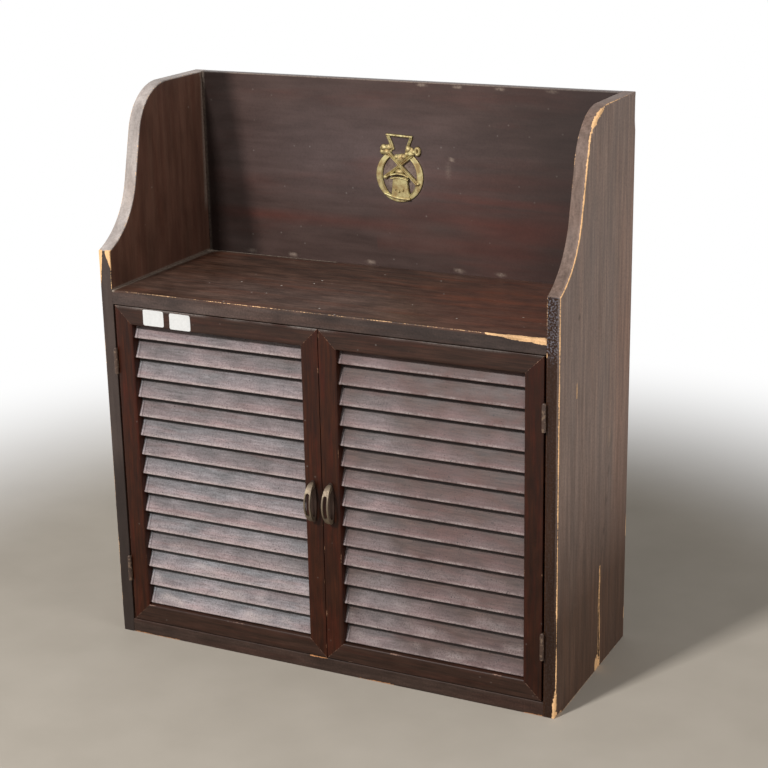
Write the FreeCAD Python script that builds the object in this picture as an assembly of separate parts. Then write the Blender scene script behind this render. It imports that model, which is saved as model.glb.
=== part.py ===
import FreeCAD, Part
import math
import os

# A low cupboard with two louvred doors under an open gallery. The sides rise past the shelf to carry the
# gallery, and their front edges sweep back to its top in an S. Millimetres. X runs across the front, Y from
# front to back, Z up. Pieces are drawn with Y = 0 at the front edges, and written with the origin on the
# floor at the footprint's middle.

# --- Carcass --------------------------------------------------------------------------------------
width = 600.0              # over both sides
depth = 242.0              # front edge to back face
side_thick = 16.0
board_thick = 18.0         # shelf and bottom board
back_thick = 12.0
shelf_height = 458.5       # floor to the shelf's upper face

# --- Shaped front edge of a side, from the straight front edge upwards ----------------------------
tip_rise = 48.5            # shelf's upper face to the tip where the shaping starts
cove_start_deg = 21.0      # slope at the tip
cove_radius = 105.0        # hollow lower curve
rake_deg = 76.0            # slope of the straight run between the curves
rake_length = 65.0
crest_radius = 69.0        # round upper curve, which ends level

# --- Joints of the carcass ------------------------------------------------------------------------
dowel_radius = 4.0
dowel_in_side = 10.0
dowel_in_board = 20.0
dowel_inset = 30.0         # first and last dowel from the board's long edges
dowels_per_end = 3
dowel_clear = 0.05
nail_radius = 1.0
nail_length = 30.0
nail_head_radius = 2.2
nail_head_thick = 0.8
nails_per_board = 5
nail_inset = 40.0          # first and last nail from the sides
nail_clear = 0.03

# --- Doors ----------------------------------------------------------------------------------------
door_thick = 20.0
frame_width = 23.0         # visible width of stiles and rails
frame_arris = 2.0          # rounding of the frame's inner front arris
hinge_gap = 2.6            # side to hinge stile
meeting_gap = 0.8          # between the two doors, at their front faces
meeting_bevel_deg = 3.0    # meeting edges fall away to the back, so that one door swings past the other
door_gap = 1.0             # above and below a door
tongue_along = 14.0        # loose tongue across each mitre, along the mitre
tongue_across = 12.0
tongue_thick = 4.0
tongue_clear = 0.1

# --- Slats ----------------------------------------------------------------------------------------
slat_width = 27.0
slat_thick = 4.5
slat_round = 1.2           # rounding of a slat's long arrises
slat_lean_deg = 24.0       # top leans back from upright
slat_pitch = 25.4
slat_recess = 4.6          # front lower arris behind the frame's front face
housing_depth = 4.0        # slat ends are let into the stiles
housing_clear = 0.1

# --- Wood screws for hinges, catches and strike plates --------------------------------------------
screw_length = 12.0
screw_radius = 1.2
screw_head_radius = 2.4
screw_head_rim = 0.2       # straight edge of the head above its cone
screw_head_depth = 1.3
screw_point = 2.5
screw_slot = 0.6
screw_clear = 0.05

# --- Butt hinges ----------------------------------------------------------------------------------
hinge_length = 32.0
hinge_inset = 71.0         # door's end to the middle of the hinge
leaf_width = 15.0
leaf_thick = 1.0
leaf_screw_spacing = 18.0
knuckle_radius = 2.5
knuckle_standoff = 0.3     # knuckle in front of the front edges
knuckles = 3
knuckle_gap = 0.3
pin_radius = 1.0
pin_clear = 0.05
pin_head_radius = 1.9

# --- Bow handles ----------------------------------------------------------------------------------
handle_height = 205.0      # door's lower edge to the middle of the handle
plate_length = 54.0
plate_width = 9.0
plate_end_width = 5.5
plate_thick = 1.6
bow_length = 51.0
bow_width = 9.0
bow_end_width = 6.5
bow_reach = 18.0           # front of the door to the outside of the bow
bow_thick = 2.2            # at the middle of the bow
foot_length = 6.0          # bow's foot on the plate
slot_length = 29.5
slot_width = 5.2
handle_screw_radius = 1.6
handle_screw_depth = 4.0   # into the foot, past the door's front face
handle_screw_head_radius = 3.2
handle_screw_head_thick = 1.8
handle_screw_clear = 0.05
handle_hole_clear = 0.3    # screw in the stile

# --- Magnetic catches -----------------------------------------------------------------------------
catch_offset = 45.0        # cupboard's middle to the middle of a catch
catch_length = 24.0
catch_depth = 14.0
catch_height = 12.0
catch_ear = 9.0
catch_ear_thick = 3.0
catch_gap = 0.3            # magnet to strike plate with the door shut
strike_length = 22.0
strike_height = 9.0
strike_thick = 1.2

# --- Cast brass ornament on the back panel --------------------------------------------------------
ornament_rise = 118.5      # shelf's upper face to the middle of the oval
oval_half_width = 33.0
oval_half_height = 33.0
ring_side = 9.2            # width of the oval's ring at its sides
ring_top = 2.6
ring_bottom = 8.6
ring_thick = 2.4
loop_rise = 20.0           # strap loop above the oval
loop_foot_half = 12.0
loop_head_half = 18.5
loop_bar = 3.6
rod_radius = 2.0
rod_reach_up = 34.0        # crossed rods, ends above and below the oval's middle
rod_reach_down = -7.0
rod_reach_side = 22.0
rod_knob_radius = 4.4
rod_tip_radius = 2.6
bell_top = 3.0
bell_bottom = -26.0
bell_top_half = 10.2
bell_bottom_half = 14.0
bell_flare = 1.2           # how far the bell's sides curve in from straight
bell_thick = 3.6
bell_knob_radius = 3.4

# --- Places worked out from the sizes -------------------------------------------------------------
cove_start = math.radians(cove_start_deg)
rake = math.radians(rake_deg)
lean = math.radians(slat_lean_deg)
inner_x = width / 2 - side_thick
back_y = depth - back_thick
shelf_under = shelf_height - board_thick
tip_height = shelf_height + tip_rise
cove_end_y = cove_radius * (math.sin(rake) - math.sin(cove_start))
cove_end_z = tip_height + cove_radius * (math.cos(cove_start) - math.cos(rake))
crest_start_y = cove_end_y + rake_length * math.cos(rake)
crest_start_z = cove_end_z + rake_length * math.sin(rake)
height = crest_start_z + crest_radius * (1 - math.cos(rake))

hinge_stile_x = inner_x - hinge_gap
meeting_x = meeting_gap / 2
door_low = board_thick + door_gap
door_high = shelf_under - door_gap
open_x0 = meeting_x + frame_width
open_x1 = hinge_stile_x - frame_width
open_z0 = door_low + frame_width
open_z1 = door_high - frame_width

slat_low = open_z0 + 2 * housing_clear + slat_thick * math.sin(lean)
slat_count = int((open_z1 - slat_low - slat_thick) // slat_pitch) + 1

axis_x = inner_x - hinge_gap / 2
axis_y = -(knuckle_radius + knuckle_standoff)
hinge_heights = (door_low + hinge_inset, door_high - hinge_inset)
screw_heights = (-leaf_screw_spacing / 2, leaf_screw_spacing / 2)

handle_x = meeting_x + frame_width / 2
handle_z = door_low + handle_height
foot_offset = (bow_length - foot_length) / 2
foot_heights = (handle_z - foot_offset, handle_z + foot_offset)

catch_y = door_thick + strike_thick + catch_gap
strike_z = shelf_under - catch_height / 2

over = 1.0                 # how far a cut runs past the piece it cuts

RIGHT = FreeCAD.Vector(1, 0, 0)
BACK = FreeCAD.Vector(0, 1, 0)
UP = FreeCAD.Vector(0, 0, 1)


def vec(x, y, z):
    return FreeCAD.Vector(x, y, z)


def box(x0, x1, y0, y1, z0, z1):
    """An upright block between two corners."""
    return Part.makeBox(x1 - x0, y1 - y0, z1 - z0, vec(x0, y0, z0))


def rod(radius, start, direction, length):
    return Part.makeCylinder(radius, length, start, direction)


def prism(edges, along):
    """A closed flat outline carried along a vector."""
    return Part.Face(Part.Wire(edges)).extrude(along)


def line(a, b):
    return Part.LineSegment(a, b).toShape()


def arc(a, middle, b):
    return Part.Arc(a, middle, b).toShape()


def mirrored(shape):
    """The same piece on the other side of the cupboard's middle plane."""
    return shape.mirror(vec(0, 0, 0), RIGHT)


def joined(shapes):
    first, rest = shapes[0], shapes[1:]
    return first.fuse(rest).removeSplitter() if rest else first


def spread(first, last, count):
    """Evenly spaced places from first to last."""
    step = (last - first) / (count - 1)
    return [first + i * step for i in range(count)]


def write(name, shape):
    """Moves the piece so that the origin is at the middle of the footprint, and saves it."""
    shape.translated(vec(0, -depth / 2, 0)).exportStep("parts/%s.step" % name)


def write_group(name, solids):
    write(name, Part.makeCompound(solids))


# --- Carcass --------------------------------------------------------------------------------------

def cove_point(angle):
    return vec(inner_x,
               cove_radius * (math.sin(angle) - math.sin(cove_start)),
               tip_height + cove_radius * (math.cos(cove_start) - math.cos(angle)))


def crest_point(angle):
    return vec(inner_x,
               crest_start_y + crest_radius * (math.sin(rake) - math.sin(angle)),
               crest_start_z + crest_radius * (math.cos(angle) - math.cos(rake)))


def side_panel():
    """The right side. Its front edge is upright to the tip, and then hollow, straight and round."""
    foot = vec(inner_x, 0, 0)
    tip = cove_point(cove_start)
    cove_end = cove_point(rake)
    crest_foot = crest_point(rake)
    crest_top = crest_point(0)
    back_top = vec(inner_x, depth, height)
    back_foot = vec(inner_x, depth, 0)
    outline = [
        line(foot, tip),
        arc(tip, cove_point((cove_start + rake) / 2), cove_end),
        line(cove_end, crest_foot),
        arc(crest_foot, crest_point(rake / 2), crest_top),
        line(crest_top, back_top),
        line(back_top, back_foot),
        line(back_foot, foot),
    ]
    panel = prism(outline, vec(side_thick, 0, 0))
    holes = dowels(dowel_clear) + carcass_hinge_screws(screw_clear)
    return panel.cut(holes)


def across_board(z0, extra_holes):
    """A board between the sides, from the front edges to the back panel, with its dowel and nail holes."""
    board = box(-inner_x, inner_x, 0, back_y, z0, z0 + board_thick)
    end_dowels = dowels(dowel_clear)
    far_dowels = [mirrored(d) for d in end_dowels]
    return board.cut(end_dowels + far_dowels + back_nails(nail_clear) + extra_holes)


def back_panel():
    """The upright panel between the sides, behind the shelf and bottom board, up to the top."""
    panel = box(-inner_x, inner_x, back_y, depth, 0, height)
    return panel.cut(back_nails(nail_clear))


def dowels(clear=0.0):
    """Dowels from the right side into the ends of the shelf and bottom board."""
    start_x = inner_x - dowel_in_board - clear
    length = dowel_in_board + dowel_in_side + 2 * clear
    return [
        rod(dowel_radius + clear, vec(start_x, y, z), RIGHT, length)
        for z in (board_thick / 2, shelf_height - board_thick / 2)
        for y in spread(dowel_inset, back_y - dowel_inset, dowels_per_end)
    ]


def back_nails(clear=0.0):
    """Nails through the back panel into the rear edges of the shelf and bottom board, heads flush."""
    nails = []
    length = nail_length + clear
    head_length = nail_head_thick + clear
    for z in (board_thick / 2, shelf_height - board_thick / 2):
        for x in spread(-inner_x + nail_inset, inner_x - nail_inset, nails_per_board):
            shank = rod(nail_radius + clear, vec(x, depth - length, z), BACK, length)
            head = rod(nail_head_radius + clear, vec(x, depth - head_length, z), BACK, head_length)
            nails.append(shank.fuse(head).removeSplitter())
    return nails


# --- Wood screws ----------------------------------------------------------------------------------

def wood_screw(place, direction, clear=0.0):
    """A countersunk screw driven from place along direction, or with a clearance the hole it needs."""
    half = [
        (0, -clear),
        (screw_head_radius + clear, -clear),
        (screw_head_radius + clear, screw_head_rim),
        (screw_radius + clear, screw_head_depth + clear),
        (screw_radius + clear, screw_length - screw_point),
        (0, screw_length + clear),
    ]
    corners = [vec(r, 0, z) for r, z in half + half[:1]]
    screw = Part.Face(Part.makePolygon(corners)).revolve(vec(0, 0, 0), UP, 360)
    if not clear:
        slot_half = screw_slot / 2
        slot = box(-slot_half, slot_half, -screw_head_radius, screw_head_radius, 0, screw_slot)
        screw = screw.cut(slot)
    screw.Placement = FreeCAD.Placement(place, FreeCAD.Rotation(UP, direction))
    return screw


# --- Hinges ---------------------------------------------------------------------------------------

def carcass_hinge_screws(clear=0.0):
    """Screws through the fixed leaves into the right side."""
    start_x = inner_x - leaf_thick
    return [
        wood_screw(vec(start_x, leaf_width / 2, z + dz), RIGHT, clear)
        for z in hinge_heights for dz in screw_heights
    ]


def door_hinge_screws(clear=0.0):
    """Screws through the moving leaves into the right door's hinge stile."""
    start_x = hinge_stile_x + leaf_thick
    return [
        wood_screw(vec(start_x, leaf_width / 2, z + dz), -RIGHT, clear)
        for z in hinge_heights for dz in screw_heights
    ]


def knuckle_span(index, middle_z):
    """Lower and upper end of one knuckle of the hinge at middle_z."""
    share = hinge_length / knuckles
    low = middle_z - hinge_length / 2 + index * share
    trim_low = knuckle_gap / 2 if index else 0
    trim_high = knuckle_gap / 2 if index < knuckles - 1 else 0
    return low + trim_low, low + share - trim_high


def hinge_leaf(x0, first_knuckle, middle_z, screws):
    """A leaf against the wood, with tabs out to every second knuckle, bored for the pin."""
    half = hinge_length / 2
    shapes = [box(x0, x0 + leaf_thick, 0, leaf_width, middle_z - half, middle_z + half)]
    for index in range(first_knuckle, knuckles, 2):
        low, high = knuckle_span(index, middle_z)
        shapes.append(box(x0, x0 + leaf_thick, axis_y, 0, low, high))
        shapes.append(rod(knuckle_radius, vec(axis_x, axis_y, low), UP, high - low))
    bore = rod(pin_radius + pin_clear, vec(axis_x, axis_y, middle_z - half), UP, hinge_length)
    return joined(shapes).cut([bore] + screws)


def fixed_leaves():
    screws = carcass_hinge_screws(screw_clear)
    return [hinge_leaf(inner_x - leaf_thick, 0, z, screws) for z in hinge_heights]


def moving_leaves():
    screws = door_hinge_screws(screw_clear)
    return [hinge_leaf(hinge_stile_x, 1, z, screws) for z in hinge_heights]


def hinge_pins():
    """Loose pins with a round head that rests on the top knuckle."""
    pins = []
    for z in hinge_heights:
        shank = rod(pin_radius, vec(axis_x, axis_y, z - hinge_length / 2), UP, hinge_length)
        head = Part.makeSphere(pin_head_radius, vec(axis_x, axis_y, z + hinge_length / 2), UP, 0, 90)
        pins.append(shank.fuse(head).removeSplitter())
    return pins


# --- Door frame -----------------------------------------------------------------------------------

def tongues(clear=0.0):
    """Loose tongues across the four mitres, in the middle of the frame's thickness."""
    half_width = frame_width / 2
    corners = [
        (meeting_x + half_width, door_low + half_width, 45),
        (hinge_stile_x - half_width, door_low + half_width, -45),
        (hinge_stile_x - half_width, door_high - half_width, 45),
        (meeting_x + half_width, door_high - half_width, -45),
    ]
    along = tongue_along / 2 + clear
    across = tongue_across / 2 + clear
    thick = tongue_thick / 2 + clear
    middle_y = door_thick / 2
    made = []
    for x, z, turn in corners:
        tongue = box(-along, along, -thick, thick, -across, across)
        tongue.Placement = FreeCAD.Placement(vec(x, middle_y, z), FreeCAD.Rotation(BACK, -turn))
        made.append(tongue)
    return made


def meeting_bevel():
    """What the bevel takes off a door's meeting edge: a wedge that widens from the front face to the back."""
    far_y = door_thick + over
    fall = far_y * math.tan(math.radians(meeting_bevel_deg))
    outline = ((meeting_x, 0), (meeting_x + fall, far_y), (meeting_x - over, far_y), (meeting_x - over, 0))
    corners = [vec(x, y, door_low - over) for x, y in outline + outline[:1]]
    return Part.Face(Part.makePolygon(corners)).extrude(vec(0, 0, door_high - door_low + 2 * over))


def frame_member(outer_a, inner_a, inner_b, outer_b):
    """A mitred bar between two outer and two inner corners (x, z), its inner front arris rounded."""
    corners = [vec(x, 0, z) for x, z in (outer_a, inner_a, inner_b, outer_b, outer_a)]
    bar = Part.Face(Part.makePolygon(corners)).extrude(vec(0, door_thick, 0))
    middle = (corners[1] + corners[2]) * 0.5
    arris = min(bar.Edges, key=lambda edge: (edge.CenterOfMass - middle).Length)
    return bar.makeFillet(frame_arris, [arris]).cut(tongues(tongue_clear) + [meeting_bevel()])


def outer_corner(right, top):
    return (hinge_stile_x if right else meeting_x, door_high if top else door_low)


def inner_corner(right, top):
    return (open_x1 if right else open_x0, open_z1 if top else open_z0)


def hinge_stile():
    stile = frame_member(outer_corner(True, False), inner_corner(True, False),
                         inner_corner(True, True), outer_corner(True, True))
    return stile.cut(slats(housing_clear) + door_hinge_screws(screw_clear))


def meeting_stile():
    stile = frame_member(outer_corner(False, False), inner_corner(False, False),
                         inner_corner(False, True), outer_corner(False, True))
    return stile.cut(slats(housing_clear) + handle_screws(handle_hole_clear))


def top_rail():
    rail = frame_member(outer_corner(False, True), inner_corner(False, True),
                        inner_corner(True, True), outer_corner(True, True))
    return rail.cut([strike_screw(screw_clear)])


def bottom_rail():
    return frame_member(outer_corner(False, False), inner_corner(False, False),
                        inner_corner(True, False), outer_corner(True, False))


# --- Slats ----------------------------------------------------------------------------------------

def slats(clear=0.0):
    """The leaning slats, or with a clearance the housings for their ends. The top one is ripped to fit."""
    x0 = open_x0 - housing_depth + housing_clear - clear
    x1 = open_x1 + housing_depth - housing_clear + clear
    headroom = open_z1 - housing_clear + clear
    made = []
    for index in range(slat_count):
        board = box(x0, x1, -clear, slat_thick + clear, -clear, slat_width + clear)
        long_arrises = [e for e in board.Edges if e.BoundBox.XLength > housing_depth]
        board = board.makeFillet(slat_round, long_arrises)
        place = vec(0, slat_recess, slat_low + index * slat_pitch)
        board.Placement = FreeCAD.Placement(place, FreeCAD.Rotation(RIGHT, -slat_lean_deg))
        if board.BoundBox.ZMax > headroom:
            board = board.cut(box(x0 - over, x1 + over, 0, depth, headroom, height))
        made.append(board)
    return made


# --- Handles --------------------------------------------------------------------------------------

def lens(length, middle_width, end_width, y0, y1):
    """An upright leaf-shaped plate centred on the handle: bowed sides and round ends."""
    half = length / 2
    side = half - end_width / 2
    end = end_width / 2
    middle = middle_width / 2
    right_top, left_top = vec(end, y0, side), vec(-end, y0, side)
    right_foot, left_foot = vec(end, y0, -side), vec(-end, y0, -side)
    outline = [
        arc(right_foot, vec(middle, y0, 0), right_top),
        arc(right_top, vec(0, y0, half), left_top),
        arc(left_top, vec(-middle, y0, 0), left_foot),
        arc(left_foot, vec(0, y0, -half), right_foot),
    ]
    shape = prism(outline, vec(0, y1 - y0, 0))
    shape.translate(vec(handle_x, 0, handle_z))
    return shape


def half_oval(half_height, reach, half_width):
    """A solid half oval standing out from the door, flat face on the door's front plane."""
    centre = vec(-half_width, 0, 0)
    major, minor = centre + vec(0, 0, half_height), centre + vec(0, -reach, 0)
    if reach > half_height:
        major, minor = minor, major
    face = Part.Face(Part.Wire([Part.Ellipse(major, minor, centre).toShape()]))
    solid = face.extrude(vec(2 * half_width, 0, 0))
    side, top = half_width + over, half_height + over
    solid = solid.cut(box(-side, side, 0, reach + over, -top, top))
    solid.translate(vec(handle_x, 0, handle_z))
    return solid


def handle():
    """A cast bow handle: a leaf-shaped back plate and a pierced bow that stands on it."""
    plate = lens(plate_length, plate_width, plate_end_width, -plate_thick, 0)
    leaf = lens(bow_length, bow_width, bow_end_width, -bow_reach - over, 0)
    half = bow_length / 2
    outside = half_oval(half, bow_reach, bow_width)
    inside = half_oval(half - foot_length, bow_reach - bow_thick, bow_width + over)
    straight = (slot_length - slot_width) / 2
    slot = box(handle_x - slot_width / 2, handle_x + slot_width / 2, -bow_reach - over, -plate_thick,
               handle_z - straight, handle_z + straight)
    slot_ends = [
        rod(slot_width / 2, vec(handle_x, -plate_thick, handle_z + dz), -BACK, bow_reach)
        for dz in (-straight, straight)
    ]
    bow = outside.common(leaf).cut([inside, slot] + slot_ends)
    return joined([plate, bow]).cut(handle_screws(handle_screw_clear))


def handle_screws(clear=0.0):
    """Machine screws through the stile from behind into the feet of the bow, round heads on the stile."""
    made = []
    tip_y = -handle_screw_depth - clear
    for z in foot_heights:
        shank = rod(handle_screw_radius + clear, vec(handle_x, tip_y, z), BACK, door_thick - tip_y)
        if clear:
            made.append(shank)
            continue
        head = rod(handle_screw_head_radius, vec(handle_x, door_thick, z), BACK, handle_screw_head_thick)
        rim = [e for e in head.Edges if e.CenterOfMass.y > door_thick + handle_screw_head_thick / 2
               and e.Closed]
        head = head.makeFillet(handle_screw_head_thick / 2, rim)
        slot_half = screw_slot / 2
        slot_y = door_thick + handle_screw_head_thick - screw_slot
        slot = box(handle_x - slot_half, handle_x + slot_half, slot_y, slot_y + screw_slot + over,
                   z - handle_screw_head_radius, z + handle_screw_head_radius)
        made.append(shank.fuse(head).removeSplitter().cut(slot))
    return made


# --- Catches --------------------------------------------------------------------------------------

def catch_screws(clear=0.0):
    ear_offset = (catch_length + catch_ear) / 2
    place_y = catch_y + catch_depth / 2
    return [
        wood_screw(vec(catch_offset + dx, place_y, shelf_under - catch_ear_thick), UP, clear)
        for dx in (-ear_offset, ear_offset)
    ]


def magnetic_catch():
    """A magnet in a block under the shelf, with an ear at each end for its screw."""
    shapes = []
    for half, thick in ((catch_length / 2, catch_height), (catch_length / 2 + catch_ear, catch_ear_thick)):
        shapes.append(box(catch_offset - half, catch_offset + half, catch_y, catch_y + catch_depth,
                          shelf_under - thick, shelf_under))
    return joined(shapes).cut(catch_screws(screw_clear))


def strike_screw(clear=0.0):
    return wood_screw(vec(catch_offset, door_thick + strike_thick, strike_z), -BACK, clear)


def strike_plate():
    """A steel plate on the back of the top rail, opposite the magnet."""
    plate = box(catch_offset - strike_length / 2, catch_offset + strike_length / 2,
                door_thick, door_thick + strike_thick,
                strike_z - strike_height / 2, strike_z + strike_height / 2)
    return plate.cut([strike_screw(screw_clear)])


# --- Ornament -------------------------------------------------------------------------------------

def raised(shape):
    """Puts a shape drawn about the oval's middle onto the back panel's front face."""
    shape.translate(vec(0, back_y, shelf_height + ornament_rise))
    return shape


def flared_plate(foot, foot_half, head, head_half):
    """A flat plate with upright symmetry, from its half width at the foot to that at the head."""
    sides = ((-foot_half, foot), (foot_half, foot), (head_half, head), (-head_half, head))
    corners = [vec(x, 0, z) for x, z in sides + sides[:1]]
    return Part.Face(Part.makePolygon(corners)).extrude(vec(0, -ring_thick, 0))


def oval_plate(half_width, half_height, middle_z, thick):
    major, minor = vec(0, 0, half_height + middle_z), vec(half_width, 0, middle_z)
    if half_width > half_height:
        major, minor = minor, major
    oval = Part.Ellipse(major, minor, vec(0, 0, middle_z))
    return Part.Face(Part.Wire([oval.toShape()])).extrude(vec(0, -thick, 0))


def ring():
    """The oval ring, broad below and narrow above."""
    window_half_height = oval_half_height - (ring_top + ring_bottom) / 2
    window_z = (ring_bottom - ring_top) / 2
    outside = oval_plate(oval_half_width, oval_half_height, 0, ring_thick)
    return outside.cut(oval_plate(oval_half_width - ring_side, window_half_height, window_z, ring_thick))


def strap_loop():
    """The flared loop above the oval, through which a strap would pass."""
    foot = oval_half_height - ring_top
    head = oval_half_height + loop_rise
    outside = flared_plate(foot, loop_foot_half, head, loop_head_half)
    window_foot, window_head = foot + loop_bar, head - loop_bar
    window = flared_plate(window_foot, loop_foot_half - loop_bar, window_head, loop_head_half - 2 * loop_bar)
    return outside.cut(window)


def crossed_rod(side):
    """A round rod across the oval, with a knob at its upper end and a smaller tip at its lower end."""
    top = vec(side * rod_reach_side, 0, rod_reach_up)
    foot = vec(-side * rod_reach_side, 0, rod_reach_down)
    run = foot - top
    shapes = [rod(rod_radius, top, run, run.Length),
              Part.makeSphere(rod_knob_radius, top),
              Part.makeSphere(rod_tip_radius, foot)]
    return joined(shapes)


def bell():
    """The bell under the crossing: curved sides, a flat rim and a round knob."""
    right_top, left_top = vec(bell_top_half, 0, bell_top), vec(-bell_top_half, 0, bell_top)
    right_foot, left_foot = vec(bell_bottom_half, 0, bell_bottom), vec(-bell_bottom_half, 0, bell_bottom)
    waist = (bell_top_half + bell_bottom_half) / 2 - bell_flare
    waist_z = (bell_top + bell_bottom) / 2
    outline = [
        line(left_top, right_top),
        arc(right_top, vec(waist, 0, waist_z), right_foot),
        line(right_foot, left_foot),
        arc(left_foot, vec(-waist, 0, waist_z), left_top),
    ]
    body = prism(outline, vec(0, -bell_thick, 0))
    return joined([body, Part.makeSphere(bell_knob_radius, vec(0, 0, bell_top))])


def horse_brass():
    """The whole casting, one piece, flat behind."""
    reach = 2 * (oval_half_height + loop_rise)
    panel = box(-reach, reach, 0, reach, -reach, reach)
    shapes = [ring(), strap_loop(), crossed_rod(1), crossed_rod(-1), bell()]
    return raised(joined([shape.cut(panel) for shape in shapes]))


# --- Write every piece ----------------------------------------------------------------------------

def door_pieces():
    """Every piece of the right door but its slats, by name. A list is a group of separate solids."""
    return {
        "hinge_stile": hinge_stile(),
        "meeting_stile": meeting_stile(),
        "top_rail": top_rail(),
        "bottom_rail": bottom_rail(),
        "mitre_tongues": tongues(),
        "handle": handle(),
        "strike_plate": strike_plate(),
        "hinge_leaves": moving_leaves(),
        "fixings": door_hinge_screws() + [strike_screw()] + handle_screws(),
    }


def both_sides(solids):
    return solids + [mirrored(s) for s in solids]


def write_carcass():
    side = side_panel()
    write("side_right", side)
    write("side_left", mirrored(side))
    write("back_panel", back_panel())
    screws = catch_screws(screw_clear)
    write("shelf", across_board(shelf_under, both_sides(screws)))
    write("bottom_board", across_board(0, []))
    write_group("carcass_dowels", both_sides(dowels()))
    write_group("back_nails", back_nails())
    write_group("carcass_hinge_leaves", both_sides(fixed_leaves()))
    write_group("hinge_pins", both_sides(hinge_pins()))
    write_group("magnetic_catches", both_sides([magnetic_catch()]))
    write_group("carcass_screws", both_sides(carcass_hinge_screws() + catch_screws()))
    write("horse_brass", horse_brass())


def write_doors():
    for piece, shape in door_pieces().items():
        group = shape if isinstance(shape, list) else [shape]
        write_group("right_door_" + piece, group)
        write_group("left_door_" + piece, [mirrored(s) for s in group])
    for index, slat in enumerate(slats(), 1):
        write("right_door_slat_%02d" % index, slat)
        write("left_door_slat_%02d" % index, mirrored(slat))


os.makedirs("parts", exist_ok=True)
write_carcass()
write_doors()
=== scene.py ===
import math

import bmesh
import bpy
import numpy as np
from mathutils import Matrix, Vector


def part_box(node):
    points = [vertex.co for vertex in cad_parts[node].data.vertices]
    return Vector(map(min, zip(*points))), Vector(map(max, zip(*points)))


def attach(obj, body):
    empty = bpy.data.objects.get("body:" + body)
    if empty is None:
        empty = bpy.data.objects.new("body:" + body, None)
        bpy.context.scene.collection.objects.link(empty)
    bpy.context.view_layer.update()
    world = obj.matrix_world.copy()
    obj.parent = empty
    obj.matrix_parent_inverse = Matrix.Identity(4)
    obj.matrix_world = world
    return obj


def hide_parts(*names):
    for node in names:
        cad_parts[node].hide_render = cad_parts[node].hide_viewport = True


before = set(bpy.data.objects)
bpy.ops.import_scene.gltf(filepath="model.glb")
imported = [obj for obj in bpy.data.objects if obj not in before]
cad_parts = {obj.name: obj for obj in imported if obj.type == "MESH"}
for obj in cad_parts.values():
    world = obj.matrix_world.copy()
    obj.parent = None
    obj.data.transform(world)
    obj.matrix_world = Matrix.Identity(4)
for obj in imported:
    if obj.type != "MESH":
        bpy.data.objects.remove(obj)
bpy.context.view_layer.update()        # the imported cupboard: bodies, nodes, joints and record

# An old stained cupboard: two louvred doors under an open gallery with S-shaped sides, bow handles and a
# cast brass ornament. Every board is skinned again with rounded, worn arrises around its place in the frame.
# Shapes are worked out in millimetres in the frame's axes: X to the right, Y to the back, Z up.

MM = 0.001
DRAWN = 20261124           # seed of everything that is drawn by chance

# --- Sizes that the shapes share ---
board_arris = 0.9          # rounding of the carcass boards' arrises
frame_arris = 2.0          # rounding of a door frame's inner front arris
bar_arris = 0.8            # rounding of its other arrises
handle_middle = 205.0      # from the door's lower edge to the middle of its handle
meeting_arris = 0.5        # rounding of the arrises where the doors meet
meeting_fall = math.tan(math.radians(3))     # how far a meeting edge falls away per millimetre behind its face
slat_lean = math.radians(24)
slat_round = 1.2
slat_housed = 3.9          # how far a slat's end lies hidden in its stile
slat_end_zone = 14.0       # how far from its end a slat's marks change quickly
tip_height = 507.0         # where a side's straight front edge ends
cove_start = math.radians(21)
rake = math.radians(76)
cove_radius = 105.0
rake_length = 65.0
crest_radius = 69.0
sticker_thick = 0.15
sticker_off = 0.02         # how far a sticker's rear face stands in front of the door
crisp_deg = 38             # two faces that meet at more than this keep a crisp edge between them


def corners(node):
    """Lowest and highest corner of a CAD node in millimetres."""
    low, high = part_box(node)
    return np.array(low) / MM, np.array(high) / MM


def size_of(node):
    """A CAD node's size along X, Y and Z in millimetres."""
    low, high = corners(node)
    return high - low


front_y = corners("side_left")[0][1]
door_front_y = corners("left_door_top_rail")[0][1]
panel_front_y = corners("back_panel")[0][1]


# --- Meshes ---

def make_piece(name, shells, material, body, stands_for=(), marks=None):
    """One object from closed shells of (points, faces), its normals outwards and its corners crisp. It rides on
    a body and replaces the CAD nodes that it stands for."""
    points = np.concatenate([shell[0] for shell in shells]) * MM
    faces, first = [], 0
    for shell_points, shell_faces in shells:
        faces += [[first + i for i in face] for face in shell_faces]
        first += len(shell_points)
    mesh = bpy.data.meshes.new(name)
    mesh.from_pydata(points.tolist(), [], faces)
    for mark, values in (marks or {}).items():
        attribute = mesh.attributes.new(mark, "FLOAT", "POINT")
        attribute.data.foreach_set("value", np.asarray(values, np.float32).ravel())
    solid = bmesh.new()
    solid.from_mesh(mesh)
    bmesh.ops.recalc_face_normals(solid, faces=solid.faces)
    solid.to_mesh(mesh)
    solid.free()
    mesh.shade_smooth()
    mesh.set_sharp_from_angle(angle=math.radians(crisp_deg))
    mesh.materials.append(material)
    made = bpy.data.objects.new(name, mesh)
    bpy.context.scene.collection.objects.link(made)
    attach(made, body)
    if stands_for:
        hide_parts(*stands_for)


def tube(rings, looped=False):
    """Skins rings of points, an array of (stations, around, 3): each face joins two neighbours around with
    the same two one station on. An open run gets a face at each end, and a looped one joins its ends."""
    stations, around = rings.shape[:2]
    index = np.arange(stations * around).reshape(stations, around)
    here = index if looped else index[:-1]
    ahead = np.roll(index, -1, axis=0) if looped else index[1:]
    quads = np.stack([here, np.roll(here, -1, 1), np.roll(ahead, -1, 1), ahead], -1).reshape(-1, 4)
    ends = [] if looped else [index[0, ::-1].tolist(), index[-1].tolist()]
    return rings.reshape(-1, 3), quads.tolist() + ends


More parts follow.
